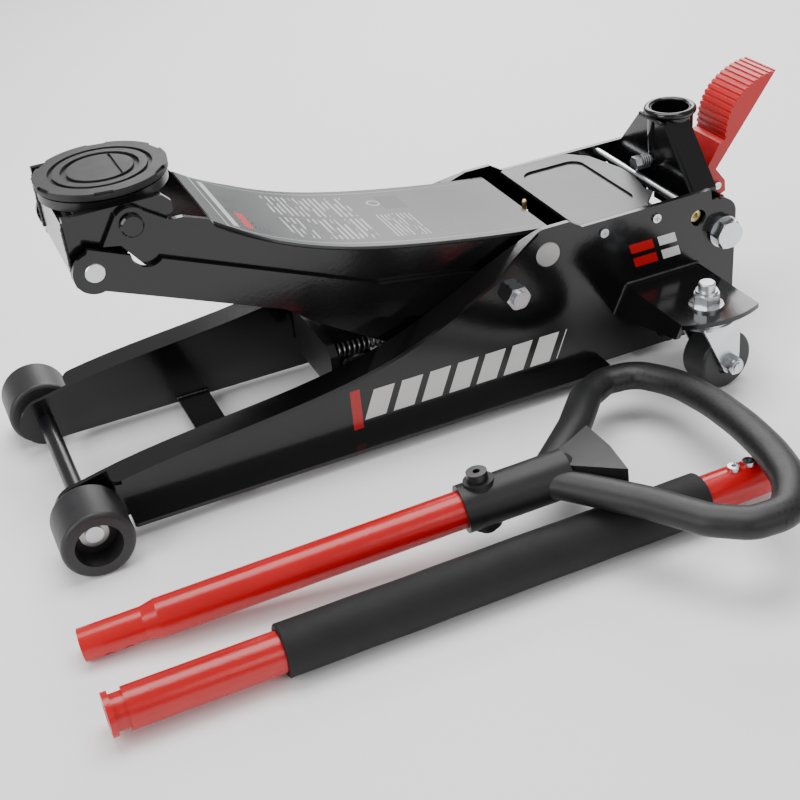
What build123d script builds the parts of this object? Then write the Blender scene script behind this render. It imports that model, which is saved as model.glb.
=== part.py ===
from build123d import *
import math
import os

os.makedirs("parts", exist_ok=True)

# A low trolley jack with a two-piece handle lying beside it.
# Millimetres. The jack is drawn from its front axle: +X runs to the rear, +Z is up, z = 0 is the floor,
# and -Y is the near side, where the handle lies. The whole set is centred over the origin at the end.

# Running gear
WHEEL_R, WHEEL_IN, WHEEL_OUT = 32.5, 93.0, 144.0
AXLE_R = 8.0
RUN = 0.05                                   # radial clearance of every running fit
# Chassis
PLATE_IN, PLATE_OUT, PLATE_BOTTOM, REAR_X = 78.0, 83.0, 10.6, 684.0
LIP_OUT = 107.0                              # edge of the folded top lip
# Lift linkage: an exact parallelogram, drawn with the arm part-way up
ARM_PIVOT = (472.0, 147.5)
ARM_TIP = (96.0, 277.5)
LINK_SHIFT = (-38.0, -31.0)                  # from the arm's pivots to the link's pivots
LOBE_DROP, LOBE_PIN_R = 90.0, 9.0            # the ram pulls on the arm this far below its pivot
ARM_IN, ARM_OUT = 66.5, 71.5
LINK_IN, LINK_OUT = 72.2, 77.2
EAR_IN, EAR_OUT = 60.0, 65.7
SADDLE_X, SADDLE_TOP, SADDLE_R = 92.0, 304.0, 57.0
# Hydraulics
RAM_Z, CROSSHEAD_X = 70.0, 285.0
BASE_BOLT = (605.0, 22.0)
# Handle socket
SOCKET_PIVOT = (669.0, 118.0)
SOCKET_X, SOCKET_TOP, SOCKET_R, SOCKET_BORE_R = 660.0, 222.0, 23.0, 19.0
ROLLER_DROP, ROLLER_R = 26.0, 8.0
WINDOW = (639.8, 139.6)                      # hole in the side plate that shows the socket's stop screw
# Rear casters
CASTER_X, CASTER_Y, CASTER_R, CASTER_W = 598.0, 159.0, 30.0, 32.0
CASTER_TRAIL, CASTER_TURN = 15.0, 5.7        # trail, and how far the fork stands turned, in degrees
SHELF_Z = 90.0                               # top of the caster shelf
# Handle
TUBE_R, TUBE_WALL = 17.0, 2.5
UPPER_R, SWAGE_R = 16.5, 14.0
FOAM_R, FOAM_ENDS = 22.0, (95.0, 475.0)
LOWER_Y, LOWER_ENDS = -331.0, (-42.0, 550.0)

LINK_PIVOT = (ARM_PIVOT[0] + LINK_SHIFT[0], ARM_PIVOT[1] + LINK_SHIFT[1])
LINK_TIP = (ARM_TIP[0] + LINK_SHIFT[0], ARM_TIP[1] + LINK_SHIFT[1])
LOBE = (ARM_PIVOT[0], ARM_PIVOT[1] - LOBE_DROP)

nodes = {}


def slab(sketch, y0, y1):
    """A sketch drawn in X and Z, given thickness from y0 to y1."""
    return extrude(Plane.XZ.offset(-y1) * sketch, y1 - y0)


def flat(sketch, z0, z1):
    return extrude(Pos(0, 0, z0) * sketch, z1 - z0)


def rod_x(y, z, r, x0, x1):
    return Pos((x0 + x1) / 2, y, z) * Rot(0, 90, 0) * Cylinder(r, x1 - x0)


def rod_y(x, z, r, y0, y1):
    return Pos(x, (y0 + y1) / 2, z) * Rot(90, 0, 0) * Cylinder(r, y1 - y0)


def rod_z(x, y, r, z0, z1):
    return Pos(x, y, (z0 + z1) / 2) * Cylinder(r, z1 - z0)


def block(x0, x1, y0, y1, z0, z1):
    return Pos((x0 + x1) / 2, (y0 + y1) / 2, (z0 + z1) / 2) * Box(x1 - x0, y1 - y0, z1 - z0)


def outline(*points):
    return make_face(Polyline(*points, close=True))


def disc(centre, r):
    return Pos(*centre) * Circle(r)


def hexagon(flats):
    return RegularPolygon(flats / math.sqrt(3), 6)


def hex_y(x, z, flats, y0, y1):
    """A hexagon with its corners turned off at both ends, as on a nut."""
    turned = rod_y(x, z, flats * 0.57, y0, y1)
    turned = chamfer(turned.edges().filter_by(GeomType.CIRCLE), flats * 0.05)
    return slab(Pos(x, z) * hexagon(flats), y0, y1) & turned


def both_sides(near):
    """A near-side solid and its mirror image on the far side."""
    return [near, mirror(near, about=Plane.XZ)]


def group(solids):
    return Compound(list(solids))


def spring_x(y, z, coil_r, wire_r, x0, x1, turns):
    """A closed-ended coil spring along X."""
    path = Helix(pitch=(x1 - x0) / turns, height=x1 - x0, radius=coil_r)
    section = Plane(origin=path @ 0, z_dir=path % 0) * Circle(wire_r)
    return Pos(x0, y, z) * Rot(0, 90, 0) * sweep(section, path=path)


# Side plates: 5 mm pressings with a lip folded outwards along the slope and along the foot.
LIP_T = 3.8
slope = Spline((25, 63), (144, 78.5), (251, 92), (310, 107), (388, 142), (430, 162), (467, 175))
nose = disc((0, WHEEL_R), 25)
body = make_face(
    slope
    + Polyline((467, 175), (495, 175), (509, 166), (653.5, 166), (655, 155), (664, 153), (REAR_X, 153),
               (REAR_X, PLATE_BOTTOM), (0, PLATE_BOTTOM), (0, 57.5), (25, 63))
)
rear_corner = body.vertices().sort_by_distance((REAR_X, 153, 0))[0]
plate_face = fillet(rear_corner, 18) + nose
holes = [
    disc(ARM_PIVOT, 13),
    disc(LINK_PIVOT, 8),
    disc(SOCKET_PIVOT, 9),
    disc(WINDOW, 8.5),
    disc((0, WHEEL_R), AXLE_R),
    disc((532.4, 153.5), 2.5),
    disc((591, 152.9), 2.5),
    disc(BASE_BOLT, 5),
]
plate = slab(plate_face - holes, -PLATE_OUT, -PLATE_IN)
lip_band = make_face(
    slope
    + Line((467, 175), (467, 175 - LIP_T))
    + Pos(0, -LIP_T) * slope
    + Line((25, 63 - LIP_T), (25, 63))
)
lip_plan = outline((27, -PLATE_OUT), (27, -LIP_OUT), (404, -LIP_OUT), (462, -PLATE_OUT))
front_corner = lip_plan.vertices().sort_by_distance((27, -LIP_OUT, 0))[0]
lip = slab(lip_band, -LIP_OUT, -PLATE_OUT) & flat(fillet(front_corner, 9), 0, 200)
foot = flat(outline((38, -PLATE_OUT), (38, -103), (40, -105), (522, -105), (530, -97), (530, -PLATE_OUT)),
            PLATE_BOTTOM, PLATE_BOTTOM + LIP_T)
nodes["side_plate_near"], nodes["side_plate_far"] = both_sides(plate + lip + foot)

# Front axle, its wheels, and the circlips that keep them on.
AXLE_END = 126.0
nodes["front_axle"] = rod_y(0, WHEEL_R, AXLE_R, -AXLE_END, AXLE_END)
HUB_FACE = WHEEL_OUT - 22
wheel = rod_y(0, WHEEL_R, WHEEL_R, -WHEEL_OUT, -WHEEL_IN)
wheel = fillet(wheel.edges().filter_by(GeomType.CIRCLE), 4)
wheel += rod_y(0, WHEEL_R, 14, -WHEEL_IN, -PLATE_OUT - 0.8)
wheel -= rod_y(0, WHEEL_R, 21, -WHEEL_OUT, -HUB_FACE)
wheel -= rod_y(0, WHEEL_R, AXLE_R + RUN, -WHEEL_OUT, 0)
nodes["front_wheel_near"], nodes["front_wheel_far"] = both_sides(wheel)
circlip = rod_y(0, WHEEL_R, 13, -HUB_FACE - 2.2, -HUB_FACE - 0.4) - rod_y(0, WHEEL_R, AXLE_R, -AXLE_END, 0)
nodes["axle_circlips"] = group(both_sides(circlip))
nodes["cross_member"] = block(130, 162, -PLATE_IN, PLATE_IN, PLATE_BOTTOM, PLATE_BOTTOM + 4)

# Caster shelves: a flat plate with a sloping front gusset, welded to each side plate.
shelf_edge = (
    Line((557, -PLATE_OUT), (641, -PLATE_OUT))
    + Line((641, -PLATE_OUT), (641, -182))
    + ThreePointArc((641, -182), (600, -191), (557, -179))
    + Line((557, -179), (557, -PLATE_OUT))
)
shelf = flat(make_face(shelf_edge), SHELF_Z - 5, SHELF_Z)
gusset = slab(outline((557, SHELF_Z), (562, SHELF_Z), (548, 60.6), (543, 60.6)), -179, -PLATE_OUT)
gusset_front = outline((-PLATE_OUT, SHELF_Z), (-PLATE_OUT, 60.6), (-179, 76.8), (-179, SHELF_Z))
shelf += gusset & extrude(Plane.YZ.offset(500) * gusset_front, 100)
shelf -= rod_z(CASTER_X, -CASTER_Y, AXLE_R, 60, 100)
nodes["caster_bracket_near"], nodes["caster_bracket_far"] = both_sides(shelf)

# King bolt of each caster: head below the fork, flanged nut above the shelf.
kingpin = rod_z(CASTER_X, -CASTER_Y, AXLE_R, 70, 115) + rod_z(CASTER_X, -CASTER_Y, 11, 69, 75.4)
kingpin = chamfer(kingpin.edges().group_by(Axis.Z)[-1], 1.2)
nodes["caster_kingpins"] = group(both_sides(kingpin))
king_nut = flat(Pos(CASTER_X, -CASTER_Y) * hexagon(24), SHELF_Z + 2.6, SHELF_Z + 14)
king_nut &= chamfer(rod_z(CASTER_X, -CASTER_Y, 13.6, SHELF_Z, SHELF_Z + 14).edges().group_by(Axis.Z)[-1], 1.6)
king_nut += rod_z(CASTER_X, -CASTER_Y, 10.6, SHELF_Z + 14, SHELF_Z + 17)
king_nut += rod_z(CASTER_X, -CASTER_Y, 16.5, SHELF_Z, SHELF_Z + 2.6)
king_nut -= rod_z(CASTER_X, -CASTER_Y, AXLE_R, 80, 120)
nodes["caster_king_nuts"] = group(both_sides(king_nut))

# Caster fork and wheel, drawn with the kingpin on the origin and the wheel trailing along +X.
LEG_IN = CASTER_W / 2 + 2.3
LEG_OUT = LEG_IN + 3
raceway = rod_z(0, 0, 28, 76, 79.4) + rod_z(0, 0, 26, 79.4, 84.6)
leg = slab(outline((-20, 78), (24, 78), (25, 40), (24.5, 30), (7, 24)) + disc((CASTER_TRAIL, CASTER_R), 10),
           -LEG_OUT, -LEG_IN)
fork = raceway + leg + mirror(leg, about=Plane.XZ)
fork -= rod_z(0, 0, AXLE_R + RUN, 60, 90)
fork -= rod_y(CASTER_TRAIL, CASTER_R, 5, -40, 40)
tread = rod_y(CASTER_TRAIL, CASTER_R, CASTER_R, -CASTER_W / 2, CASTER_W / 2)
tread = fillet(tread.edges(), 4)
tread -= rod_y(CASTER_TRAIL, CASTER_R, 13, -CASTER_W / 2, -CASTER_W / 2 + 3)
tread -= rod_y(CASTER_TRAIL, CASTER_R, 13, CASTER_W / 2 - 3, CASTER_W / 2)
tread -= rod_y(CASTER_TRAIL, CASTER_R, 5 + RUN, -40, 40)
axle = rod_y(CASTER_TRAIL, CASTER_R, 5, -LEG_OUT - 11, LEG_OUT)
axle += hex_y(CASTER_TRAIL, CASTER_R, 16, LEG_OUT, LEG_OUT + 6.5)
lock_nut = hex_y(CASTER_TRAIL, CASTER_R, 16, -LEG_OUT - 8, -LEG_OUT)
lock_nut += rod_y(CASTER_TRAIL, CASTER_R, 7, -LEG_OUT - 9.6, -LEG_OUT - 8)
lock_nut -= rod_y(CASTER_TRAIL, CASTER_R, 5, -40, 0)
for side, mark in (("near", 1), ("far", -1)):
    spot = Pos(CASTER_X, -CASTER_Y, 0) * Rot(0, 0, CASTER_TURN)
    pieces = {"caster_fork_": fork, "caster_wheel_": tread, "caster_axle_": group([axle, lock_nut])}
    for name, shape in pieces.items():
        placed = spot * shape
        nodes[name + side] = placed if mark == 1 else mirror(placed, about=Plane.XZ)

# Rear cover: a sheet with a pressed panel, tabs screwed to the side plates, and a tie rod behind it.
cover_plan = outline((506, -77.5), (583, -77.5), (600, -58), (611, -12), (611, 12), (600, 58), (583, 77.5),
                     (506, 77.5))
cover_plan = fillet(cover_plan.vertices().filter_by_position(Axis.X, 582, 601), 8)
cover = flat(cover_plan, 162, 166)
cover -= flat(Pos(552, 0) * RectangleRounded(68, 118, 14), 164, 170)
tab = block(-9, 9, -77.5, -75, 146, 162)
tabs = [Pos(x, 0, 0) * side for x in (532.4, 591) for side in both_sides(tab)]
screws = []
for x, z in ((532.4, 153.5), (591, 152.9)):
    screw = rod_y(x, z, 4.6, -85, -PLATE_OUT) + rod_y(x, z, 2.5, -PLATE_OUT, -72)
    screw -= block(x - 2.6, x + 2.6, -86, -84, z - 0.6, z + 0.6)
    screw -= block(x - 0.6, x + 0.6, -86, -84, z - 2.6, z + 2.6)
    tabs = [side - rod_y(x, z, 2.5, -80, 80) for side in tabs]
    screws += both_sides(screw)
nodes["cover_plate"] = group([cover] + tabs)
nodes["cover_screws"] = group(screws)
nodes["cross_rod"] = rod_y(621, 160, 4, -PLATE_IN, PLATE_IN)

# Pivots fixed in the side plates.
pivot_pin = rod_y(*ARM_PIVOT, 13, -PLATE_OUT - 0.8, PLATE_OUT + 0.8)
nodes["arm_pivot_pin"] = chamfer(pivot_pin.edges().filter_by(GeomType.CIRCLE), 1.2)
link_bolt = rod_y(*LINK_PIVOT, 8, -98, -LINK_IN)
link_nut = hex_y(*LINK_PIVOT, 22, -PLATE_OUT - 11, -PLATE_OUT - 0.01) - rod_y(*LINK_PIVOT, 8, -98, 0)
nodes["link_pivot_bolts"] = group(both_sides(link_bolt) + both_sides(link_nut))

# Lift arm: two plates under a curved top plate, turning on a cross tube.
LABEL_T = 3.0
crown = Spline((165, 259), (221, 227), (267, 209), (304, 198.7), (390, 181.5), (432, 174.8), (480, 169.4))
arm_rim = Pos(0, -LABEL_T) * crown
arm_face = make_face(
    arm_rim
    + Polyline((480, 169.4 - LABEL_T), (491, 152), (494, 60), (472, 36), (440, 40), (302.7, 101.5),
               (254.5, 132), (234, 146.2), (190, 182), (120, 232), (100, 240), (84, 262), (69.5, 264.7), (84, 288),
               (106, 288), (127, 273.5), (139, 273), (160, 265), (165, 259 - LABEL_T))
)
arm_face += disc(ARM_TIP, 15)
arm_face += disc(LOBE, 22)
arm_face -= disc(ARM_PIVOT, 13 + RUN)
arm_face -= disc(ARM_TIP, 10)
arm_face -= disc(LOBE, LOBE_PIN_R)
nodes["arm_side_plates"] = group(both_sides(slab(arm_face, -ARM_OUT, -ARM_IN)))
top_band = make_face(crown + Line((480, 169.4), (480, 169.4 - LABEL_T)) + arm_rim
                     + Line((165, 259 - LABEL_T), (165, 259)))
top_plan = outline((150, -63), (178, -63), (215, -70), (490, -70), (490, 70), (215, 70), (178, 63), (150, 63))
nodes["arm_top_plate"] = slab(top_band, -70, 70) & flat(top_plan, 100, 300)
pivot_tube = rod_y(*ARM_PIVOT, 18.5, -ARM_IN, ARM_IN) - rod_y(*ARM_PIVOT, 13 + RUN, -ARM_IN, ARM_IN)
FITTING_X, FITTING_Y = 484.0, -15.5
nodes["arm_pivot_tube"] = pivot_tube - rod_z(FITTING_X, FITTING_Y, 3, 140, 180)
fitting = rod_z(FITTING_X, FITTING_Y, 3, 160, 164) + rod_z(FITTING_X, FITTING_Y, 2.2, 164, 172)
fitting += Pos(FITTING_X, FITTING_Y, 173) * Sphere(2.6)
nodes["grease_fitting"] = fitting
tip_stub = rod_y(*ARM_TIP, 10, -76, -50)
tip_stub = chamfer(tip_stub.edges().filter_by(GeomType.CIRCLE), 1.5)
lobe_stub = rod_y(*LOBE, LOBE_PIN_R, -ARM_OUT, -56)
nodes["arm_pins"] = group(both_sides(tip_stub) + both_sides(lobe_stub))

# Lower links: they keep the saddle level. The scallop clears the arm's pin when the jack is down.
link_face = outline((41, 238), (56, 268.3), (90, 253.6), (116.3, 243), (303.3, 163.7), (382.8, 151),
                    (440, 138), (452, 100), (434, 93), (345.2, 119), (314.2, 126.5), (280.9, 136.9),
                    (243.6, 152.6), (209.6, 166.9), (106, 210.7))
link_face += disc(LINK_PIVOT, 22)
link_face += disc(LINK_TIP, 18.5)
link_face -= disc((104, 254), 14.5)
link_face -= disc(LINK_PIVOT, 8 + RUN)
link_face -= disc(LINK_TIP, 8.7 + RUN)
nodes["link_plates"] = group(both_sides(slab(link_face, -LINK_OUT, -LINK_IN)))

# Saddle carrier: two ears, a front plate and a seat block, with the lower pin through it.
YOKE_FRONT = 42.5
ear_face = outline((YOKE_FRONT, 232), (70, 232), (95, 258), (120, 268), (133, 278), (133, 287), (126, 294),
                   (YOKE_FRONT, 294))
ear_face -= disc(ARM_TIP, 10 + RUN)
ear_face -= disc(LINK_TIP, 8.7)
front_plate = block(YOKE_FRONT, YOKE_FRONT + 5.5, -EAR_IN, EAR_IN, 236, 286)
ear = slab(ear_face, -EAR_OUT, -EAR_IN)
seat = block(62, 128, -EAR_IN, EAR_IN, 268, 287.6)
seat -= rod_z(SADDLE_X, 0, 14 + RUN, 250, 300)
seat -= rod_y(*ARM_TIP, 10 + RUN, -EAR_IN, -48)
seat -= rod_y(*ARM_TIP, 10 + RUN, 48, EAR_IN)
nodes["saddle_carrier"] = group(both_sides(ear) + [front_plate, seat])
lower_pin = rod_y(*LINK_TIP, 8.7, -LINK_OUT - 0.6, LINK_OUT + 0.6)
nodes["yoke_lower_pin"] = chamfer(lower_pin.edges().filter_by(GeomType.CIRCLE), 0.8)

# Saddle: a steel dish on a stem, with a ringed rubber pad.
dish = rod_z(SADDLE_X, 0, 55.5, 288, 296) + rod_z(SADDLE_X, 0, 51, 296, 298)
dish += rod_z(SADDLE_X, 0, 14, 259, 288)
nodes["saddle_dish"] = chamfer(dish.edges().group_by(Axis.Z)[0], 1)
pad = rod_z(SADDLE_X, 0, SADDLE_R, 298, SADDLE_TOP)
for outer, inner in ((44.5, 40.5), (33.5, 28.5)):
    pad -= rod_z(SADDLE_X, 0, outer, SADDLE_TOP - 3, SADDLE_TOP) - rod_z(SADDLE_X, 0, inner, 290, 310)
notch = Pos(SADDLE_R, 0, SADDLE_TOP) * Box(5, 16, 5)
pad -= [Pos(SADDLE_X, 0, 0) * Rot(0, 0, turn) * notch for turn in range(20, 380, 60)]
pad -= block(SADDLE_X + 12, SADDLE_X + 14.5, -24.5, 24.5, SADDLE_TOP - 2, SADDLE_TOP)
nodes["saddle_pad"] = pad

# Hydraulic unit: a cast block across the rear, with the cylinder and reservoir ahead of it.
BASE_FRONT, BASE_REAR = 560.0, 628.0
PLUNGER_Z = SOCKET_PIVOT[1] - ROLLER_DROP
SPRING_SEAT = 616.0
base = block(BASE_FRONT, BASE_REAR, -77.9, 77.9, 26, 88)
base += block(BASE_FRONT, BASE_REAR, -46, 46, 88, 112)
base -= rod_x(0, PLUNGER_Z, 8 + RUN, 572, BASE_REAR)
base -= rod_x(0, PLUNGER_Z, 13.5, SPRING_SEAT, BASE_REAR)
base -= rod_z(600, 34, 7 + RUN, 96, 112)
nodes["hydraulic_base"] = base
RESERVOIR_FRONT, SPRING_Z = 438.0, 88.5
cylinder = rod_x(0, RAM_Z, 24, 405, BASE_FRONT) + rod_x(0, RAM_Z, 36, RESERVOIR_FRONT, RESERVOIR_FRONT + 14)
cylinder += rod_x(0, RAM_Z, 35, RESERVOIR_FRONT, BASE_FRONT) - rod_x(0, RAM_Z, 31, RESERVOIR_FRONT, BASE_FRONT)
cylinder += block(RESERVOIR_FRONT, RESERVOIR_FRONT + 10, -53, 53, SPRING_Z - 9, SPRING_Z + 9)
cylinder -= rod_x(0, RAM_Z, 19, 412, BASE_FRONT)
cylinder -= rod_x(0, RAM_Z, 11 + RUN, 400, 420)
nodes["cylinder_housing"] = cylinder
ram = rod_x(0, RAM_Z, 11, CROSSHEAD_X - 20, 502) + rod_x(0, RAM_Z, 19 - RUN, 488, 502)
nodes["ram_rod"] = ram
release = rod_z(600, 34, 7, 97, 122) - block(590, 610, 33, 35, 119, 122)
nodes["release_valve"] = release
base_bolt = rod_y(*BASE_BOLT, 8, -PLATE_OUT - 6, -PLATE_OUT) + rod_y(*BASE_BOLT, 5, -PLATE_OUT, -PLATE_IN)
nodes["base_bolts"] = group(both_sides(base_bolt))

# Crosshead on the ram, and the pull links that draw the arm's lobes forward.
CROSS_R = 8.0
SPRING_Y = 44.0
head = block(CROSSHEAD_X - 22, CROSSHEAD_X + 16, -36, 36, 50, 92)
head += chamfer(block(CROSSHEAD_X - 30, CROSSHEAD_X - 22, -52, 52, 46, 97).edges().filter_by(Axis.X), 9)
head -= rod_x(0, RAM_Z, 11, CROSSHEAD_X - 20, 400)
head -= rod_y(CROSSHEAD_X, RAM_Z, CROSS_R, -80, -11)
head -= rod_y(CROSSHEAD_X, RAM_Z, CROSS_R, 11, 80)
nodes["crosshead_block"] = head
cross_stub = rod_y(CROSSHEAD_X, RAM_Z, CROSS_R, -66, -11)
cross_ring = rod_y(CROSSHEAD_X, RAM_Z, 11, -46, -44) - rod_y(CROSSHEAD_X, RAM_Z, CROSS_R, -80, 0)
nodes["crosshead_pins"] = group(both_sides(cross_stub) + both_sides(cross_ring))
PULL_IN, PULL_OUT = 57.5, 63.5
slot = Pos(CROSSHEAD_X, RAM_Z - 9) * Rot(0, 0, 90) * SlotOverall(20 + 2 * CROSS_R + 4, 2 * CROSS_R + 4)
pull_face = outline((CROSSHEAD_X - 20, 86), (CROSSHEAD_X + 16, 86), (CROSSHEAD_X + 40, 76), (460, 74),
                    (460, 42), (CROSSHEAD_X + 40, 44), (CROSSHEAD_X + 16, 36), (CROSSHEAD_X - 20, 36))
pull_face += disc(LOBE, 18)
pull_face -= disc(LOBE, LOBE_PIN_R + RUN)
pull_face -= slot
nodes["pull_links"] = group(both_sides(slab(pull_face, -PULL_OUT, -PULL_IN)))
spring = spring_x(-SPRING_Y, SPRING_Z, 5.4, 1.2, CROSSHEAD_X - 20.4, RESERVOIR_FRONT - 1.6, 34)
nodes["return_springs"] = group(both_sides(spring))

# Pump plunger with its spring, pushed by the roller of the handle socket.
HEAD_X = SOCKET_PIVOT[0] - ROLLER_R - 0.9
plunger = rod_x(0, PLUNGER_Z, 8, 600, HEAD_X) + rod_x(0, PLUNGER_Z, 13, HEAD_X - 4, HEAD_X)
nodes["pump_plunger"] = plunger
nodes["pump_spring"] = spring_x(0, PLUNGER_Z, 10.6, 1.2, SPRING_SEAT + 1.5, HEAD_X - 5.5, 5)

# Handle socket: a tube with a rolled mouth, held by a bent fork between two pivot bolts.
tube = rod_z(SOCKET_X, 0, SOCKET_R, 140, SOCKET_TOP + 2)
mouth = Pos(SOCKET_X, 0, SOCKET_TOP) * Torus(SOCKET_R - 0.5, 3.8)
tube = tube + mouth - rod_z(SOCKET_X, 0, SOCKET_BORE_R, 130, 240)
tube -= rod_x(0, 173, 5 + RUN, 625, SOCKET_X)
nodes["socket_tube"] = tube
LEG_Y0, LEG_Y1 = 66.0, 71.0
fork_front = Plane.YZ.offset(638) * outline((-22, 216), (22, 216), (LEG_Y1, 160), (LEG_Y1, 134),
                                            (-LEG_Y1, 134), (-LEG_Y1, 160))
web = extrude(fork_front, 4)
slope_strip = Plane.YZ.offset(642) * outline((-20, 218), (-22, 213.5), (-LEG_Y1 + 3, 158), (-LEG_Y1, 158),
                                             (-LEG_Y1, 161.5))
strip = extrude(slope_strip, 26) - rod_z(SOCKET_X, 0, SOCKET_R, 130, 240)
leg_face = outline((642, 158), (668, 158), (690, 122), (686, 102), (677, 84), (661, 84), (652, 102), (642, 126))
leg_face = fillet(leg_face.vertices().filter_by_position(Axis.Y, 80, 125), 4)
leg_plate = slab(leg_face, -LEG_Y1, -LEG_Y0) - rod_y(*SOCKET_PIVOT, 9 + RUN, -90, 90)
leg_plate -= rod_y(SOCKET_PIVOT[0], PLUNGER_Z, 5, -90, 90)
web = web - rod_z(SOCKET_X, 0, SOCKET_R, 130, 240) - rod_x(0, 173, 5 + RUN, 600, SOCKET_X)
nodes["socket_fork"] = group([web] + both_sides(strip) + both_sides(leg_plate))
roller = rod_y(SOCKET_PIVOT[0], PLUNGER_Z, 5, -LEG_Y1, LEG_Y1)
roller += rod_y(SOCKET_PIVOT[0], PLUNGER_Z, ROLLER_R, -16, 16)
nodes["socket_roller"] = roller
pivot_bolt = rod_y(*SOCKET_PIVOT, 9, -PLATE_OUT, -58) + hex_y(*SOCKET_PIVOT, 27, -PLATE_OUT - 14, -PLATE_OUT - 3)
pivot_bolt += rod_y(*SOCKET_PIVOT, 16.5, -PLATE_OUT - 3, -PLATE_OUT)
nodes["socket_pivot_bolts"] = group(both_sides(pivot_bolt))
stop_screw = rod_y(*WINDOW, 6.2, -PLATE_IN + 0.6, -LEG_Y1) - slab(disc(WINDOW, 3.2), -90, -74.5)
nodes["stop_screws"] = group(both_sides(stop_screw))

# Clamp screw that locks the handle in the socket, under a light spring.
clamp = rod_x(0, 173, 5, 625, 640.5)
clamp += extrude(Plane.YZ.offset(617.6) * Pos(0, 173) * hexagon(13), 7.4)
nodes["clamp_bolt"] = clamp
nodes["clamp_spring"] = spring_x(0, 173, 6.6, 0.8, 626.2, 635.8, 4)

# Foot pedal: a ribbed tread on a flat arm, hinged on a bracket behind the socket.
PEDAL_HALF = 25.0
PEDAL_PIVOT = (702.0, 137.0)
arm_back = [(768, 245), (700.5, 155), (712, 140), (713, 128), (703, 124), (692, 131), (690.5, 160), (704, 182)]
tread_curve = Spline((710, 184), (712.4, 205.9), (721.1, 223.2), (735.6, 235.4), (751.7, 242.5), (768, 245))
pedal_face = make_face(tread_curve + Polyline(*arm_back, (710, 184)))
pedal = slab(pedal_face, -PEDAL_HALF, PEDAL_HALF)
RIBS = 15
grooves = [
    rod_y((tread_curve @ t).X, (tread_curve @ t).Y, 1.5, -30, 30)
    for t in [(k + 0.5) / RIBS for k in range(RIBS)]
]
pedal -= grooves
pedal -= rod_y(*PEDAL_PIVOT, 4 + RUN, -40, 40)
pedal -= block(680, 720, -12, 12, 118, 149)
nodes["pedal"] = pedal
knuckle = rod_y(*PEDAL_PIVOT, 8, -11.6, 11.6) + block(688, PEDAL_PIVOT[0], -11.6, 11.6, 130, 144)
bracket = knuckle + block(679, 688.4, -30, 30, 118, 148)
bracket += block(684, 708, -30, -26, 118, 126) + block(684, 708, 26, 30, 118, 126)
bracket -= rod_y(*PEDAL_PIVOT, 4, -40, 40)
bracket -= rod_z(SOCKET_X, 0, SOCKET_R, 100, 240)
nodes["pedal_bracket"] = bracket
nodes["pedal_pin"] = rod_y(*PEDAL_PIVOT, 4, -27.5, 27.5)

# Lower handle: red tube with a grooved end, a foam sleeve, and two clamp screws in welded nuts.
x0, x1 = LOWER_ENDS
BORE_R, BORE_LENGTH = TUBE_R - TUBE_WALL, 70.0
lower = rod_x(LOWER_Y, FOAM_R, TUBE_R, x0 + 15, x1) - rod_x(LOWER_Y, FOAM_R, BORE_R, x1 - BORE_LENGTH, x1)
lower -= rod_x(LOWER_Y, FOAM_R, BORE_R + 0.4, x0 + 25, x1 - BORE_LENGTH)
lower -= rod_x(LOWER_Y, FOAM_R, BORE_R, x0 + 15, x0 + 25)
SCREW_XS = (508.0, 523.0)
for x in SCREW_XS:
    lower -= rod_z(x, LOWER_Y, 4, 0, 50)
nodes["lower_handle_tube"] = lower
spool = rod_x(LOWER_Y, FOAM_R, 17.5, x0, x0 + 5) + rod_x(LOWER_Y, FOAM_R, TUBE_R - TUBE_WALL, x0 + 5, x0 + 25)
spool -= rod_x(LOWER_Y, FOAM_R, 9.5, x0, x0 + 25)
nodes["handle_spool_end"] = spool
foam = rod_x(LOWER_Y, FOAM_R, FOAM_R, *FOAM_ENDS) - rod_x(LOWER_Y, FOAM_R, TUBE_R, *FOAM_ENDS)
nodes["foam_sleeve"] = fillet(foam.edges().filter_by(GeomType.CIRCLE).sort_by(SortBy.RADIUS)[-2:], 1.5)
TUBE_TOP = FOAM_R + TUBE_R
tube_core = rod_x(LOWER_Y, FOAM_R, TUBE_R, x0 + 15, x1)
joint_screws = []
for x in SCREW_XS:
    nut = rod_z(x, LOWER_Y, 5.2, FOAM_R, TUBE_TOP + 3.6) - tube_core + rod_z(x, LOWER_Y, 4, 37, TUBE_TOP + 1)
    socket = flat(Pos(x, LOWER_Y) * hexagon(4), TUBE_TOP - 1, TUBE_TOP + 5)
    stud = rod_z(x, LOWER_Y, 5, FOAM_R - TUBE_R - 2.6, FOAM_R) - tube_core
    joint_screws += [nut - socket, stud + rod_z(x, LOWER_Y, 4, FOAM_R - TUBE_R - 1, FOAM_R - TUBE_R + 2)]
nodes["joint_screws"] = group(joint_screws)

# Upper handle: drawn along its own +X from the swaged end, then laid with the grip over the foam sleeve.
UPPER_LENGTH, COLLAR_X, JOIN_X = 400.0, 325.0, 405.0
SWAGE_X0, SWAGE_X1 = 52.0, 64.0
lay = Pos(-41, -237, 14.3) * Rot(0, 0, -6) * Rot(0, -5.5, 0) * Rot(-5.6, 0, 0)
upper_shape = Polyline((0, 0), (0, SWAGE_R), (SWAGE_X0, SWAGE_R), (SWAGE_X1, UPPER_R), (UPPER_LENGTH, UPPER_R),
                       (UPPER_LENGTH, 0), close=True)
upper = revolve(make_face(upper_shape), Axis.X)
upper -= rod_x(0, 0, SWAGE_R - TUBE_WALL, 0, UPPER_LENGTH - 5)
cross_hole = Rot(-40, 0, 0) * Cylinder(4, 60)
upper -= [Pos(x, 0, 0) * cross_hole for x in (19, 35)]
nodes["upper_handle_tube"] = lay * upper

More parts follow.
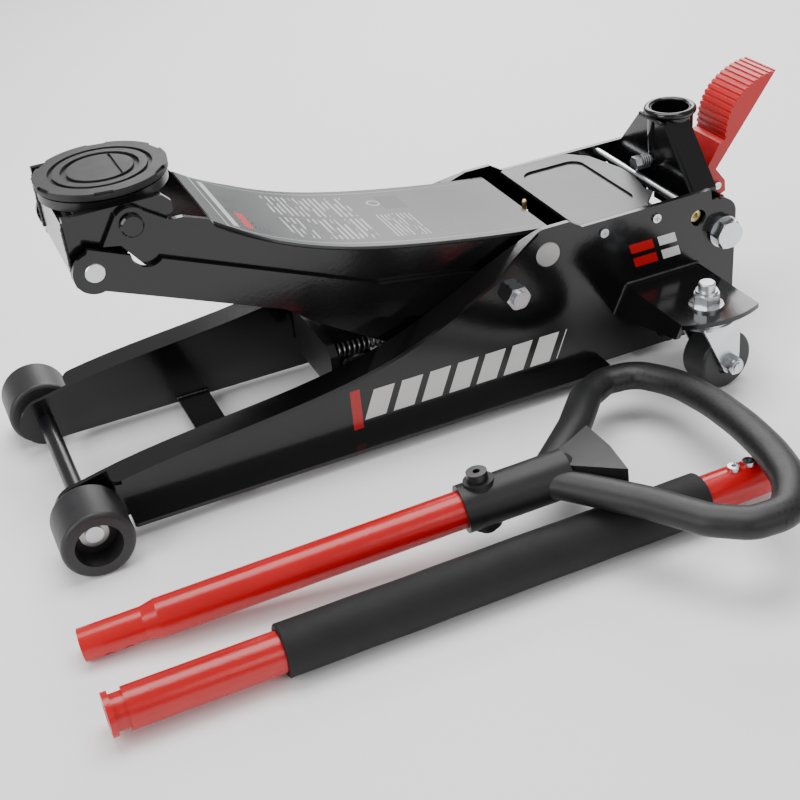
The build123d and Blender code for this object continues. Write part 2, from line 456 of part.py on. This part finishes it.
# Grip: a padded D-shaped loop moulded round the end of the tube, level with the floor where the tube rises.
GRIP_DIP = 5.1
half_path = [(424, 30), (459, 72), (490, 118), (516, 137), (549, 136), (574, 100), (584, 50)]
route = half_path + [(587, 0)] + [(x, -y) for x, y in reversed(half_path)]
corners = [30, 60, 30, 22, 30, 90, 220]
centre_line = FilletPolyline(*[(JOIN_X, 8)], *route, *[(JOIN_X, -8)],
                             radius=[30] + corners[1:] + [300] + list(reversed(corners[1:])) + [30])
grip_section = Plane(origin=centre_line @ 0, z_dir=centre_line % 0, x_dir=(0, 0, 1)) * Ellipse(12.5, 15.5)
loop = sweep(grip_section, path=centre_line, transition=Transition.ROUND)
web_plate = flat(outline((400, 0), (458, 42), (461, 0), (458, -42)), -9, 15.5)
dip = Pos(JOIN_X, 0, 0) * Rot(0, GRIP_DIP, 0) * Pos(-JOIN_X, 0, 0)
collar = rod_x(0, 0, 21, COLLAR_X, 420)
collar += rod_z(344, 0, 13, -22, 23)
loop = dip * (loop + web_plate)
grip = collar + loop + Pos(412, 0, 0) * Sphere(20)
grip -= rod_x(0, 0, UPPER_R, COLLAR_X, UPPER_LENGTH)
grip -= rod_z(344, 0, 5, -40, 40)
nodes["grip_loop"] = lay * grip
screw = rod_z(344, 0, 9, 23, 31) + rod_z(344, 0, 5, -16, 23) - flat(Pos(344, 0) * hexagon(6), 26, 31)
nodes["upper_handle_tube"] -= lay * rod_z(344, 0, 5, -40, 40)
nodes["grip_screw"] = lay * (screw + rod_z(344, 0, 7.5, -27, -22) + rod_z(344, 0, 5, -22, -14))

# Put the middle of the whole set over the origin, standing on the floor, and write every piece.
whole = group(nodes.values()).bounding_box()
SHIFT_X = -round((whole.min.X + whole.max.X) / 2, 3)
SHIFT_Y = -round((whole.min.Y + whole.max.Y) / 2, 3)
if __name__ == "__main__":
    for name, shape in nodes.items():
        export_step(Pos(SHIFT_X, SHIFT_Y, 0) * shape, "parts/" + name + ".step")
    print(len(nodes), "pieces, shift", SHIFT_X, SHIFT_Y, "lowest", round(whole.min.Z, 3))
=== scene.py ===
import bpy
import math
from mathutils import Matrix, Vector


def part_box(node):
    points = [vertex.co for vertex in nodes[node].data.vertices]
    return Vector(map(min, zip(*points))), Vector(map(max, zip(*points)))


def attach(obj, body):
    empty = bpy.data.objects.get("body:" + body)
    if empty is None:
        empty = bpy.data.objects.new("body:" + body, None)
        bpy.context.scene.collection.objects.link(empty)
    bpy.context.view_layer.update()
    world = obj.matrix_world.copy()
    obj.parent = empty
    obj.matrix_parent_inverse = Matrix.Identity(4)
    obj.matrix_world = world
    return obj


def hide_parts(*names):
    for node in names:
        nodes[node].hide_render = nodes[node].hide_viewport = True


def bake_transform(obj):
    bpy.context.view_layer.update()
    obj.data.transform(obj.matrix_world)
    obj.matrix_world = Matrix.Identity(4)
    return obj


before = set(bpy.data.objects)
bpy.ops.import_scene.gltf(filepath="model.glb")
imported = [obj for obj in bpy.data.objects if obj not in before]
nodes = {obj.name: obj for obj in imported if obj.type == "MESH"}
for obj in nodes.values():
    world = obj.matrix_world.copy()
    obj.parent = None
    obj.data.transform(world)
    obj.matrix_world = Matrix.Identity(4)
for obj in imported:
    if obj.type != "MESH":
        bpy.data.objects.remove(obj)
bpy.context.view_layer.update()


# Camera: a long lens on the near side, a little forward of the jack, looking down on the set.
# It leans a few degrees, and its place is measured from the foot of the front axle, as every place below is.
axle_low, axle_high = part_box("front_axle")
AXLE = Vector(((axle_low.x + axle_high.x) / 2, (axle_low.y + axle_high.y) / 2, 0))


def at(x, y, z):
    """A point in metres, from millimetres behind, beside and above the front axle's foot."""
    return AXLE + Vector((x, y, z)) / 1000


yaw, pitch, roll = math.radians(20.84), math.radians(-32.62), math.radians(-6.03)
ahead = Vector((math.sin(yaw) * math.cos(pitch), math.cos(yaw) * math.cos(pitch), math.sin(pitch)))
level = Vector((math.cos(yaw), -math.sin(yaw), 0))
upright = level.cross(ahead)
right = level * math.cos(roll) + upright * math.sin(roll)
up = upright * math.cos(roll) - level * math.sin(roll)
lens = bpy.data.cameras.new("camera")
lens.sensor_width = 36
lens.lens = 61.1
lens.clip_start, lens.clip_end = 0.05, 50
camera = bpy.data.objects.new("camera", lens)
bpy.context.scene.collection.objects.link(camera)
turn = Matrix((right, up, -ahead)).transposed().to_4x4()
camera.matrix_world = Matrix.Translation(at(-77.54, -1095.75, 734.21)) @ turn
bpy.context.scene.camera = camera


# Chassis paint: gloss black powder coat, sprayed and baked on the folded and welded steel plates, so it has a
# faint orange peel, soft clouds and a little dust. Value lets a shader formula read like arithmetic, and
# Look holds one material.
class Value:
    """A shader socket that adds a Math node for each sign in a formula."""

    def __init__(self, tree, socket):
        self.tree = tree
        self.socket = socket

    def do(self, operation, *others):
        node = self.tree.nodes.new("ShaderNodeMath")
        node.operation = operation
        for slot, item in zip(node.inputs, (self, *others)):
            if isinstance(item, Value):
                self.tree.links.new(item.socket, slot)
            else:
                slot.default_value = item
        return Value(self.tree, node.outputs[0])

    def __add__(self, other):
        return self.do("ADD", other)

    def __sub__(self, other):
        return self.do("SUBTRACT", other)

    def __rsub__(self, other):
        return self.do("MULTIPLY", -1.0) + other

    def __mul__(self, other):
        return self.do("MULTIPLY", other)

    def __truediv__(self, other):
        return self.do("DIVIDE", other)

    def __gt__(self, other):
        return self.do("GREATER_THAN", other)

    def __lt__(self, other):
        return self.do("LESS_THAN", other)

    def size(self):
        return self.do("ABSOLUTE")

    def repeat(self, step):
        """The position within each step, from 0 to 1."""
        return (self / step).do("FRACT")

    def within(self, low, high):
        return (self > low) * (self < high)

    __radd__ = __add__
    __rmul__ = __mul__


class Look:
    """One material on a Principled shader, with object coordinates in millimetres from the front axle."""

    def __init__(self, name, metallic=0.0, specular=0.5):
        self.material = bpy.data.materials.new(name)
        self.material.use_nodes = True
        self.tree = self.material.node_tree
        self.shader = self.tree.nodes["Principled BSDF"]
        self.shader.inputs["Metallic"].default_value = metallic
        self.shader.inputs["Specular IOR Level"].default_value = specular
        self.place = self.node("ShaderNodeTexCoord", output="Object")
        parts = self.node("ShaderNodeSeparateXYZ", {"Vector": self.place}).socket.node
        self.x = (Value(self.tree, parts.outputs[0]) - AXLE.x) * 1000
        self.y = (Value(self.tree, parts.outputs[1]) - AXLE.y) * 1000
        self.z = Value(self.tree, parts.outputs[2]) * 1000

    def node(self, kind, inputs=None, settings=None, output=0):
        node = self.tree.nodes.new(kind)
        for name, value in (settings or {}).items():
            setattr(node, name, value)
        for name, value in (inputs or {}).items():
            if isinstance(value, Value):
                self.tree.links.new(value.socket, node.inputs[name])
            else:
                node.inputs[name].default_value = value
        return Value(self.tree, node.outputs[output])

    def noise(self, scale, detail=3.0, rough=0.55, where=None):
        inputs = {"Scale": scale, "Detail": detail, "Roughness": rough, "Vector": where or self.place}
        return self.node("ShaderNodeTexNoise", inputs)

    def stretched(self, x, y, z):
        inputs = {"Vector": self.place, "Scale": (x, y, z)}
        return self.node("ShaderNodeMapping", inputs, {"vector_type": "POINT"})

    def mix(self, share, first, second):
        settings = {"data_type": "RGBA", "clamp_factor": True}
        node = self.node("ShaderNodeMix", None, settings).socket.node
        for slot, item in ((node.inputs[0], share), (node.inputs[6], first), (node.inputs[7], second)):
            if isinstance(item, Value):
                self.tree.links.new(item.socket, slot)
            else:
                slot.default_value = (*item, 1.0) if isinstance(item, tuple) else item
        return Value(self.tree, node.outputs[2])

    def feed(self, name, value):
        self.tree.links.new(value.socket, self.shader.inputs[name])

    def bump(self, height, strength, distance=0.001):
        inputs = {"Height": height, "Strength": strength, "Distance": distance}
        self.feed("Normal", self.node("ShaderNodeBump", inputs))


def show(look, *names):
    """Gives the CAD nodes this material."""
    for name in names:
        mesh = nodes[name].data
        mesh.materials.clear()
        mesh.materials.append(look.material)


def powder_coat(name, colour, rough, peel, dragged=0.0):
    """Sprayed and baked paint: orange peel, faint cloudiness, a little dust, and any diagonal drag marks."""
    look = Look(name)
    cloud = look.noise(9, 4)
    dust = look.noise(700, 2)
    deep = tuple(c * 0.7 for c in colour)
    look.colour = look.mix(cloud, deep, tuple(min(1, c * 1.35 + 0.002) for c in colour))
    look.feed("Base Color", look.colour)
    look.feed("Roughness", (cloud - 0.5) * 0.16 + (dust - 0.5) * 0.08 + rough)
    drag = look.node("ShaderNodeMapping", {"Vector": look.place, "Rotation": (0.5, 0.2, 0.7),
                                           "Scale": (0.25, 1.6, 1.6)})
    fine = look.noise(900, 2, 0.6, drag) * dragged
    look.bump(look.noise(260, 2) + look.noise(900, 1) * 0.3 + fine, peel, 0.0006)
    return look


black = powder_coat("black_powder_coat", (0.0025, 0.0025, 0.0028), 0.15, 0.08)
show(black, "cross_member", "caster_bracket_near", "caster_bracket_far", "arm_side_plates", "arm_pivot_tube",
     "arm_pins", "link_plates", "saddle_carrier", "socket_tube", "socket_fork")

# Side plates: 3 mm steel, folded to a lip along the bottom and screen printed on the outer face after the
# paint. The print is a red stripe with plain pale bars on the flank, and a red and white badge at the rear.
printed = powder_coat("printed_black_powder_coat", (0.0025, 0.0025, 0.0028), 0.15, 0.08)
outer = printed.y.size().within(82.6, 83.4)
lean = printed.x + (46 - printed.z) * 0.4
bars = printed.z.within(31, 61) * lean.within(277, 484) * ((lean - 277).repeat(29.4) < 0.74)
badge = printed.x + printed.z * 0.3
chevrons = printed.z.within(106, 132) * badge.within(600, 626)
pale_bar = printed.z.within(106, 132) * badge.within(632, 652)
gap = (printed.z - 119).size() < 2.6
white = outer * (bars + pale_bar - pale_bar * gap)
red = outer * (printed.x.within(259, 269) * printed.z.within(23, 66) + chevrons - chevrons * gap)
inked = printed.mix(white, printed.colour, (0.72, 0.72, 0.71))
inked = printed.mix(red, inked, (0.50, 0.008, 0.012))
printed.feed("Base Color", inked)
show(printed, "side_plate_near", "side_plate_far")


# Wheels: solid black plastic, moulded with a satin skin and scuffed on their treads. The front pair turns on
# the axle between the side plates, and the rear pair in the caster forks.
wheel = Look("wheel_plastic")
scuff = wheel.noise(60, 5, 0.65)
wheel.feed("Base Color", wheel.mix(scuff, (0.006, 0.006, 0.007), (0.024, 0.024, 0.026)))
wheel.feed("Roughness", (scuff - 0.5) * 0.25 + 0.46)
wheel.bump(wheel.noise(1500, 2) + scuff * 0.4, 0.12, 0.0006)
show(wheel, "front_wheel_near", "front_wheel_far", "caster_wheel_near", "caster_wheel_far")


# Plated hardware: zinc on the front axle, which is painted over between the side plates, and on the stamped
# caster forks, bolts, nuts and rods. The pivot pin and roller are turned steel, the ram and plunger hard
# chrome, and the grease fitting brass. All are bolted, pinned or pressed in.
def plated(name, colour, rough, grain):
    """Bright zinc over turned or stamped steel, with faint tarnish and tool marks."""
    look = Look(name, metallic=1.0)
    tarnish = look.noise(38, 5, 0.6)
    look.feed("Base Color", look.mix(tarnish, tuple(c * 0.62 for c in colour), colour))
    look.feed("Roughness", (tarnish - 0.5) * 0.3 + rough)
    look.bump(look.noise(grain, 3) + look.noise(120, 2) * 0.5, 0.10, 0.0005)
    return look


zinc = plated("bright_zinc", (0.80, 0.82, 0.85), 0.27, 1800)
show(zinc, "caster_kingpins", "caster_king_nuts", "caster_fork_near", "caster_fork_far",
     "caster_axle_near", "caster_axle_far", "cover_screws", "cross_rod", "link_pivot_bolts", "yoke_lower_pin",
     "release_valve", "crosshead_pins", "pull_links", "socket_pivot_bolts", "clamp_bolt", "pedal_pin",
     "joint_screws")
axle = plated("part_painted_axle", (0.80, 0.82, 0.85), 0.30, 1800)
masked = (axle.y.size() > 86) + (axle.noise(45, 5) > 0.72)
bare = masked.do("MINIMUM", 1.0)
axle.feed("Base Color", axle.mix(bare, (0.004, 0.004, 0.005), (0.66, 0.68, 0.70)))
axle.feed("Metallic", bare)
show(axle, "front_axle")
steel = plated("turned_steel", (0.55, 0.54, 0.53), 0.34, 900)
rings = steel.noise(900, 2, 0.5, steel.stretched(1, 0.05, 1))
steel.feed("Roughness", rings * 0.2 + 0.22)
show(steel, "arm_pivot_pin", "socket_roller", "axle_circlips")
hard_chrome = plated("ground_chrome", (0.82, 0.82, 0.84), 0.12, 2600)
show(hard_chrome, "ram_rod", "pump_plunger")
yellow_zinc = plated("yellow_zinc", (0.78, 0.64, 0.33), 0.30, 1500)
show(yellow_zinc, "stop_screws")
brass = plated("brass", (0.83, 0.62, 0.26), 0.26, 1500)
show(brass, "grease_fitting")
spring_steel = plated("oiled_spring_steel", (0.30, 0.30, 0.31), 0.36, 1400)


# Rear deck and small black hardware: satin black paint on the cover sheet, which four screws hold between the
# side plates, and on the saddle's dish, the pedal bracket and the base bolts.
satin = powder_coat("satin_black_paint", (0.008, 0.008, 0.009), 0.32, 0.14)
show(satin, "cover_plate", "base_bolts", "pedal_bracket", "saddle_dish")


# Hydraulic unit: iron castings with a sand-cast skin under thin black paint, deep between the side plates.
# Two bolts hold the base block to each plate, and the crosshead rides on the end of the ram.
cast = Look("painted_casting")
skin = cast.noise(420, 5, 0.65)
cast.feed("Base Color", cast.mix(skin, (0.005, 0.005, 0.006), (0.017, 0.017, 0.018)))
cast.feed("Roughness", (skin - 0.5) * 0.3 + 0.42)
cast.bump(skin, 0.35, 0.001)
show(cast, "hydraulic_base", "cylinder_housing", "crosshead_block")


# Lift arm's top plate: curved sheet steel welded on the arm's two side plates, with a printed dark grey film.
# The print has a thin border, a pale bar at the front, ruled lines like small text, and fades to black.
label = powder_coat("printed_grey_plate", (0.050, 0.052, 0.055), 0.30, 0.06)
along, across = label.x, label.y
inside = (across.size() < 63) * along.within(176, 474)
frame_line = (across.size().within(61.4, 62.4) + ((along - 178).size() < 0.7)) * inside
words = (label.noise(160, 1, 0.5, label.stretched(1, 0.25, 1)) > 0.47)
rules = (along.repeat(5.2) < 0.36) * words * along.within(236, 322) * (across.size().within(3, 52))
small = (along.repeat(4.0) < 0.34) * words * along.within(336, 372) * across.within(-50, 4)
panel = along.within(352, 376) * across.within(16, 50)
bands = along.within(184, 189) * (across.size() < 56)
accent = along.within(196, 203) * across.within(-52, -14)
marks = (((along - 346) * (along - 346) + (across - 34) * (across - 34)).do("SQRT") - 6).size() < 0.9
ink = label.mix((rules + small + marks).do("MINIMUM", 1.0), label.colour, (0.42, 0.42, 0.43))
ink = label.mix(frame_line, ink, (0.34, 0.34, 0.35))
ink = label.mix(bands * 0.85, ink, (0.55, 0.55, 0.55))
ink = label.mix(panel * 0.9, ink, (0.009, 0.009, 0.009))
ink = label.mix(accent, ink, (0.46, 0.008, 0.012))
fade = ((along - 300) / 180).do("MAXIMUM", 0.0)
ink = label.mix(fade * 0.9, ink, (0.006, 0.006, 0.007))
label.feed("Base Color", ink)
show(label, "arm_top_plate")


# Saddle pad: moulded black rubber with a fine grain and a dusty bloom, pressed into the saddle's dish.
# Its raised rings are in the model's own mesh.
rubber = Look("moulded_rubber", specular=0.4)
bloom = rubber.noise(70, 4)
rubber.feed("Base Color", rubber.mix(bloom, (0.007, 0.007, 0.007), (0.024, 0.024, 0.025)))
rubber.feed("Roughness", (bloom - 0.5) * 0.2 + 0.5)
rubber.bump(rubber.noise(1100, 3), 0.25, 0.0007)
show(rubber, "saddle_pad")


# Handle tubes and pedal: steel tube dipped in red enamel, which leaves fine diagonal drag marks. The pedal is
# a ribbed pressing in satin red, pinned to its bracket on the handle socket.
enamel = powder_coat("red_enamel", (0.47, 0.004, 0.007), 0.19, 0.18, dragged=0.9)
show(enamel, "upper_handle_tube", "lower_handle_tube", "handle_spool_end")
pedal_red = powder_coat("satin_red", (0.46, 0.005, 0.008), 0.32, 0.16)
show(pedal_red, "pedal")


# Foam sleeve: closed-cell black foam with a fine skin, pulled over the lower handle tube.
# Its ends are rounded and its surface waves a little along the tube.
foam = Look("foam_skin", specular=0.3)
pores = foam.node("ShaderNodeTexVoronoi", {"Vector": foam.place, "Scale": 1500.0})
foam.feed("Base Color", foam.mix(foam.noise(45, 4), (0.005, 0.005, 0.005), (0.014, 0.014, 0.015)))
foam.feed("Roughness", (foam.noise(90) - 0.5) * 0.2 + 0.66)
foam.bump(pores + foam.noise(30, 2) * 1.5, 0.25, 0.0008)
low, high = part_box("foam_sleeve")
outer_r = (high.z - low.z) / 2
inner_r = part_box("lower_handle_tube")[1].z - (low.z + high.z) / 2
edge = 0.0022
wave = 0.00022
STATIONS, SPOKES = 90, 72
stations = [low.x + edge + (high.x - low.x - 2 * edge) * k / STATIONS for k in range(STATIONS + 1)]
ends = [(edge * (1 - math.cos(a)), edge * (1 - math.sin(a))) for a in [k * math.pi / 12 for k in range(6)]]
profile = [(low.x, inner_r)] + [(low.x + dx, outer_r - dr) for dx, dr in ends]
profile += [(x, outer_r) for x in stations]
profile += [(high.x - dx, outer_r - dr) for dx, dr in reversed(ends)] + [(high.x, inner_r)]
points, faces = [], []
for x, r in profile:
    for k in range(SPOKES):
        angle = 2 * math.pi * k / SPOKES
        sag = wave * (1 + math.sin(x * 61 + 2 * angle) * math.cos(x * 23 + angle)) * (r == outer_r)
        points.append((x, (low.y + high.y) / 2 + (r - sag) * math.cos(angle),
                       (low.z + high.z) / 2 + (r - sag) * math.sin(angle)))
count = len(profile)
for ring_number in range(count):
    for k in range(SPOKES):
        here, there = ring_number * SPOKES, (ring_number + 1) % count * SPOKES
        faces.append((here + k, here + (k + 1) % SPOKES, there + (k + 1) % SPOKES, there + k))
sleeve_mesh = bpy.data.meshes.new("foam_grip_sleeve")
sleeve_mesh.from_pydata(points, [], faces)
sleeve_mesh.materials.append(foam.material)
sleeve_mesh.shade_smooth()
sleeve = bpy.data.objects.new("foam_grip_sleeve", sleeve_mesh)
bpy.context.scene.collection.objects.link(sleeve)
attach(sleeve, "lower_handle")
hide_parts("foam_sleeve")


# Grip: a closed loop of moulded black plastic on the end of the upper handle tube, held by one screw.
# The bar that the hand pulls on is dimpled, and its dimples are darkened in colour as painted shade.
grip = Look("moulded_grip", specular=0.4)
sheen = grip.noise(24, 4)
bar = grip.x > 470
row = grip.y.repeat(12.0) - 0.5
column = grip.x.repeat(6.0) - 0.5
other_row = (grip.y + 6).repeat(12.0) - 0.5
other_column = (grip.x + 3).repeat(6.0) - 0.5
dimple_and_painted_shade = ((row * row * 4 + column * column).do("SQRT") < 0.24)
dimple_and_painted_shade = dimple_and_painted_shade + ((other_row * other_row * 4 + other_column * other_column).do("SQRT") < 0.24)
skin = grip.mix(sheen, (0.005, 0.005, 0.006), (0.015, 0.015, 0.016))
# Painted shade: the dimples on the bar are darkened to near black in the base colour, besides being pressed
# in by the bump.
grip.feed("Base Color", grip.mix(dimple_and_painted_shade * bar * 0.8, skin, (0.002, 0.002, 0.002)))
grip.feed("Roughness", (sheen - 0.5) * 0.16 + 0.42)
grip.bump(grip.noise(1300, 3) * 0.4 + grip.noise(60, 2) * 0.4 - dimple_and_painted_shade * bar * 3.0, 0.5, 0.0010)
show(grip, "grip_loop")
show(satin, "grip_screw")


# Springs: coils of oiled round wire. Two long ones pull the crosshead back to the housing, one lifts the pump
# plunger and one holds off the clamp bolt.
def tree_of(name, *sockets):
    """An empty geometry node group with these named inputs, and its first and last node."""
    tree = bpy.data.node_groups.new(name, "GeometryNodeTree")
    tree.interface.new_socket("Geometry", in_out="OUTPUT", socket_type="NodeSocketGeometry")
    tree.interface.new_socket("Geometry", in_out="INPUT", socket_type="NodeSocketGeometry")
    for label_text, kind in sockets:
        tree.interface.new_socket(label_text, in_out="INPUT", socket_type=kind)
    return tree, tree.nodes.new("NodeGroupInput"), tree.nodes.new("NodeGroupOutput")


def baked(name, tree, values, material):
    """A plain mesh of what the node group makes from these inputs."""
    maker = bpy.data.objects.new(name + "_maker", bpy.data.meshes.new(name + "_maker"))
    bpy.context.scene.collection.objects.link(maker)
    modifier = maker.modifiers.new("maker", "NODES")
    modifier.node_group = tree
    for item in tree.interface.items_tree:
        if item.in_out == "INPUT" and item.name in values:
            modifier[item.identifier] = values[item.name]
    bpy.context.view_layer.update()
    evaluated = maker.evaluated_get(bpy.context.evaluated_depsgraph_get())
    mesh = bpy.data.meshes.new_from_object(evaluated)
    bpy.data.objects.remove(maker)
    mesh.name = name
    mesh.materials.clear()
    mesh.materials.append(material)
    piece = bpy.data.objects.new(name, mesh)
    bpy.context.scene.collection.objects.link(piece)
    return piece


coil_tree, given, result = tree_of("coil", ("Radius", "NodeSocketFloat"), ("Wire", "NodeSocketFloat"),
                                   ("Length", "NodeSocketFloat"), ("Turns", "NodeSocketFloat"))
spiral = coil_tree.nodes.new("GeometryNodeCurveSpiral")
ring = coil_tree.nodes.new("GeometryNodeCurvePrimitiveCircle")
tube = coil_tree.nodes.new("GeometryNodeCurveToMesh")
coil_skin = coil_tree.nodes.new("GeometryNodeSetMaterial")
whole = coil_tree.nodes.new("GeometryNodeRealizeInstances")
spiral.inputs["Resolution"].default_value = 24
ring.inputs["Resolution"].default_value = 10
coil_tree.links.new(given.outputs["Radius"], spiral.inputs["Start Radius"])
coil_tree.links.new(given.outputs["Radius"], spiral.inputs["End Radius"])
coil_tree.links.new(given.outputs["Length"], spiral.inputs["Height"])
coil_tree.links.new(given.outputs["Turns"], spiral.inputs["Rotations"])
coil_tree.links.new(given.outputs["Wire"], ring.inputs["Radius"])
coil_tree.links.new(spiral.outputs[0], tube.inputs["Curve"])
coil_tree.links.new(ring.outputs[0], tube.inputs["Profile Curve"])
tube.inputs["Fill Caps"].default_value = True
coil_tree.links.new(tube.outputs[0], whole.inputs[0])
coil_tree.links.new(whole.outputs[0], coil_skin.inputs[0])
coil_tree.links.new(coil_skin.outputs[0], result.inputs[0])
coil_skin.inputs["Material"].default_value = spring_steel.material


def coil(name, start, end, radius, wire, turns):
    """A coil from start to end along X."""
    values = {"Radius": radius, "Wire": wire, "Length": abs(end.x - start.x) - 2 * wire, "Turns": turns}
    piece = baked(name, coil_tree, values, spring_steel.material)
    low = min(start.x, end.x) + wire
    place = Matrix.Translation((low, start.y, start.z)) @ Matrix.Rotation(math.pi / 2, 4, "Y")
    piece.data.transform(place)
    piece.data.shade_smooth()
    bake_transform(piece)
    return piece


low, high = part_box("return_springs")
coil_r = (high.z - low.z) / 2 - 0.0012
middle = (low.z + high.z) / 2
near = coil("return_spring_near", Vector((low.x, low.y + 0.0066, middle)),
            Vector((high.x, low.y + 0.0066, middle)), coil_r, 0.0012, 34.0)
far = coil("return_spring_far", Vector((low.x, high.y - 0.0066, middle)),
           Vector((high.x, high.y - 0.0066, middle)), coil_r, 0.0012, 34.0)
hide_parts("return_springs")
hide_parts("return_springs")
for node, still, moving, wire, turns in (("pump_spring", "chassis", "pump_plunger", 0.0012, 5.0),
                                         ("clamp_spring", "handle_socket", "clamp_bolt", 0.0008, 4.0)):
    low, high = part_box(node)
    middle = (low + high) / 2
    ends = [Vector((low.x, middle.y, middle.z)), Vector((high.x, middle.y, middle.z))]
    if node == "clamp_spring":
        ends.reverse()
    spring = coil(node + "_coil", ends[0], ends[1], (high.z - low.z) / 2 - wire, wire, turns)
    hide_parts(node)


# Weld beads: overlapping ripples of filler wire, painted over, where the caster shelves, the cross member,
# the saddle carrier's plates and the handle socket are joined.
bead_tree, given, result = tree_of("weld", ("Start", "NodeSocketVector"), ("End", "NodeSocketVector"),
                                   ("Ripples", "NodeSocketInt"), ("Size", "NodeSocketFloat"),
                                   ("Seed", "NodeSocketInt"))
seam = bead_tree.nodes.new("GeometryNodeCurvePrimitiveLine")
spots = bead_tree.nodes.new("GeometryNodeCurveToPoints")
drop = bead_tree.nodes.new("GeometryNodeMeshIcoSphere")
laid = bead_tree.nodes.new("GeometryNodeInstanceOnPoints")
vary = bead_tree.nodes.new("FunctionNodeRandomValue")
whole = bead_tree.nodes.new("GeometryNodeRealizeInstances")
bead_skin = bead_tree.nodes.new("GeometryNodeSetMaterial")
drop.inputs["Subdivisions"].default_value = 2
vary.data_type = "FLOAT"
vary.inputs[2].default_value = 0.8
vary.inputs[3].default_value = 1.15
bead_tree.links.new(given.outputs["Start"], seam.inputs["Start"])
bead_tree.links.new(given.outputs["End"], seam.inputs["End"])
bead_tree.links.new(seam.outputs[0], spots.inputs["Curve"])
bead_tree.links.new(given.outputs["Ripples"], spots.inputs["Count"])
bead_tree.links.new(given.outputs["Size"], drop.inputs["Radius"])
bead_tree.links.new(given.outputs["Seed"], vary.inputs["Seed"])
bead_tree.links.new(spots.outputs[0], laid.inputs["Points"])
bead_tree.links.new(drop.outputs[0], laid.inputs["Instance"])
bead_tree.links.new(vary.outputs[1], laid.inputs["Scale"])
bead_tree.links.new(laid.outputs[0], whole.inputs[0])
bead_tree.links.new(whole.outputs[0], bead_skin.inputs[0])
bead_tree.links.new(bead_skin.outputs[0], result.inputs[0])
bead_skin.inputs["Material"].default_value = black.material


def weld(name, body, seams, size=2.2):
    """One piece for all of a body's seams, each given by its two ends in millimetres."""
    parts = []
    for number, (start, end) in enumerate(seams):
        start, end = at(*start), at(*end)
        spacing = size * 0.00075
        values = {"Start": tuple(start), "End": tuple(end), "Ripples": int((end - start).length / spacing),
                  "Size": size / 1000, "Seed": number + 3}
        parts.append(baked(name + str(number), bead_tree, values, black.material))
    with bpy.context.temp_override(active_object=parts[0], selected_editable_objects=parts):
        bpy.ops.object.join()
    parts[0].name = name
    parts[0].data.shade_smooth()
    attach(parts[0], body)


seams = []
for side in (-1, 1):
    y = side * 83.6
    seams += [((559, y, 90.6), (639, y, 90.6)), ((556, y, 88.5), (543.5, y, 62.5)),
              ((130.5, side * 77.2, 15.2), (161.5, side * 77.2, 15.2))]
weld("chassis_welds", "chassis", seams)
seams = []
for side in (-1, 1):
    seams += [((43, side * 60.4, 287), (62, side * 60.4, 287)),
              ((42.2, side * 60, 240), (42.2, side * 60, 284))]
weld("saddle_carrier_welds", "yoke", seams, 1.8)
weld("socket_welds", "handle_socket", [((637.2, -18, 216.8), (637.2, 18, 216.8)),
                                       ((642.5, -15, 141), (642.5, 15, 141))], 2.0)


# Studio: a pale paper floor under four soft boxes, one overhead and one each from the left, back and front.
# The world behind them is a dim even white.
floor_mesh = bpy.data.meshes.new("floor")
floor_mesh.from_pydata([(-6, -6, 0), (6, -6, 0), (6, 6, 0), (-6, 6, 0)], [], [(0, 1, 2, 3)])
floor = bpy.data.objects.new("floor", floor_mesh)
floor.location.z = -0.0004
bpy.context.scene.collection.objects.link(floor)
sweep = Look("floor_paper", specular=0.2)
sweep.feed("Base Color", sweep.mix(sweep.noise(3), (0.93, 0.93, 0.93), (0.96, 0.96, 0.96)))
sweep.shader.inputs["Roughness"].default_value = 0.8
floor_mesh.materials.append(sweep.material)
world = bpy.data.worlds.new("studio")
world.use_nodes = True
world.node_tree.nodes["Background"].inputs["Color"].default_value = (1.0, 1.0, 1.0, 1.0)
world.node_tree.nodes["Background"].inputs["Strength"].default_value = 0.42
bpy.context.scene.world = world
for name, place, width, height, power in (
    ("overhead", (0.1, 0.3, 1.9), 1.8, 1.2, 42.0),
    ("left_box", (-1.7, -0.5, 1.1), 0.9, 1.4, 20.0),
    ("back_box", (0.9, 1.7, 1.2), 1.8, 0.9, 36.0),
    ("front_box", (0.5, -1.9, 1.3), 1.2, 0.8, 9.0),
):
    data = bpy.data.lights.new(name, "AREA")
    data.shape = "RECTANGLE"
    data.size = width
    data.size_y = height
    data.energy = power
    lamp = bpy.data.objects.new(name, data)
    lamp.location = place
    aim = Vector((0, 0, 0.1)) - Vector(place)
    lamp.rotation_euler = aim.to_track_quat("-Z", "Y").to_euler()
    bpy.context.scene.collection.objects.link(lamp)
